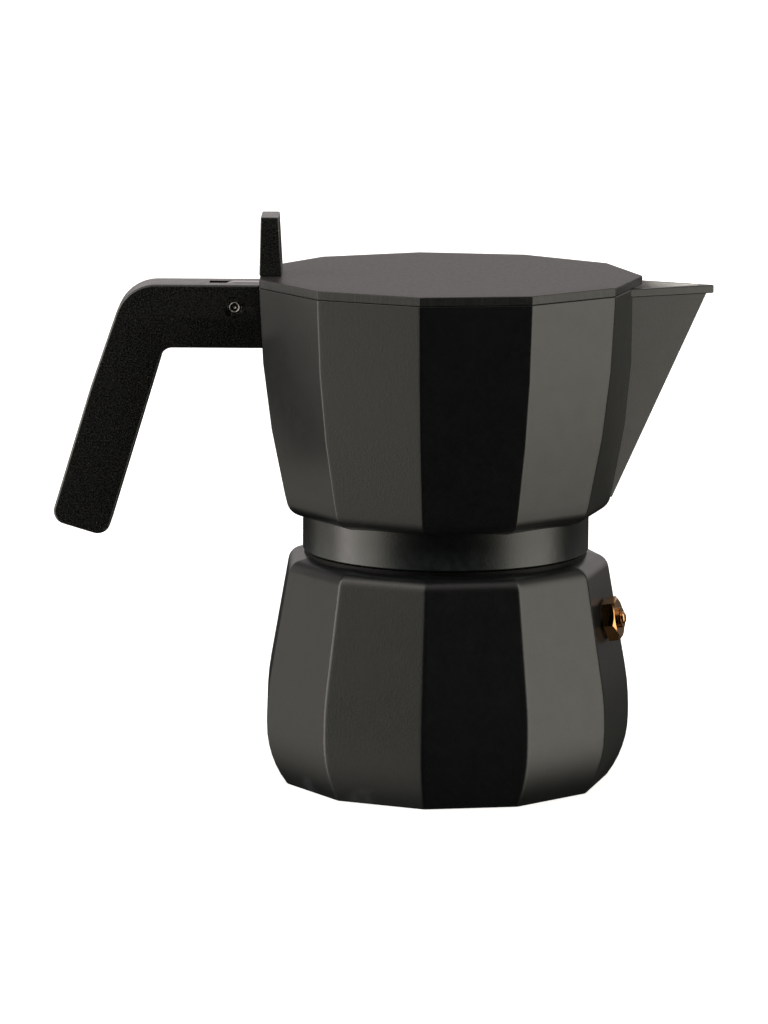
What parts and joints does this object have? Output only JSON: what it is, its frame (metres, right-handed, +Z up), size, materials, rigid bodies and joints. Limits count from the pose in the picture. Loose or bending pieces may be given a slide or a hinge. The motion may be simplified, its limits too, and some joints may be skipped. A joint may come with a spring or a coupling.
{
  "type": "moka pot",
  "caption": "Stovetop moka pot with a faceted boiler and collector, V spout, hinged flat lid with a tab knob, and an angular side handle.",
  "frame": {"origin": "centre of the flat base, on the axis of the boiler and the screw joint", "axes": "+Z up along the axis, +X to the spout, -X to the handle"},
  "size_m": [0.2116, 0.1238, 0.1829],
  "materials": {
    "boiler_coat": "satin black coating on cast aluminium",
    "body_coat": "satin black coating on cast aluminium",
    "lid_coat": "satin black coating on sheet aluminium",
    "bare_aluminium": "brushed, bare",
    "handle_nylon": "fine-grained moulded black",
    "valve_brass": "turned and polished",
    "washer_fibre": "pressed fibre",
    "spring_steel": "drawn wire",
    "gasket_rubber": "smooth, off-white",
    "hinge_steel": "bright, lightly brushed"
  },
  "bodies": {
    "base": {"boiler": "boiler_coat", "valve_body": "valve_brass", "valve_washer": "washer_fibre", "valve_seat": "valve_brass", "valve_spring": "spring_steel"},
    "valve": {"valve_pin": "valve_brass"},
    "funnel": {"funnel_basket": "bare_aluminium", "funnel_strainer": "bare_aluminium", "funnel_stem": "bare_aluminium"},
    "seal": {"gasket": "gasket_rubber", "filter_plate": "bare_aluminium"},
    "collector": {"upper_body": "body_coat", "coffee_column": "bare_aluminium", "handle": "handle_nylon", "hinge_sleeve": "hinge_steel", "hinge_screw": "hinge_steel"},
    "lid": {"lid": "lid_coat", "hinge_arm": "hinge_steel", "knob": "handle_nylon", "knob_screw": "hinge_steel"}
  },
  "joints": [
    {"name": "thread_rise", "type": "slide", "parent": "base", "child": "seal", "axis": [0, 0, 1], "range_m": [0, 0.008]},
    {"name": "unscrew", "type": "hinge", "parent": "seal", "child": "collector", "pos_m": [0, 0, 0], "axis": [0, 0, 1], "range_deg": [0, 900]},
    {"name": "lid_hinge", "type": "hinge", "parent": "collector", "child": "lid", "pos_m": [-0.0681, 0, 0.154], "axis": [0, -1, 0], "range_deg": [0, 91]},
    {"name": "funnel_lift", "type": "slide", "parent": "base", "child": "funnel", "axis": [0, 0, 1], "range_m": [0, 0.004]},
    {"name": "valve_slide", "type": "slide", "parent": "base", "child": "valve", "axis": [0.9513, -0.2578, 0.1687], "range_m": [0, 0.0015], "stiffness_N_per_m": 1500, "springref_m": -0.002, "deforming": ["valve_spring"]}
  ],
  "couplings": [
    {"joint": "thread_rise", "follows": "unscrew", "m_per_rad": 0.0005093},
    {"joint": "funnel_lift", "follows": "unscrew", "m_per_rad": 0.00025465}
  ]
}
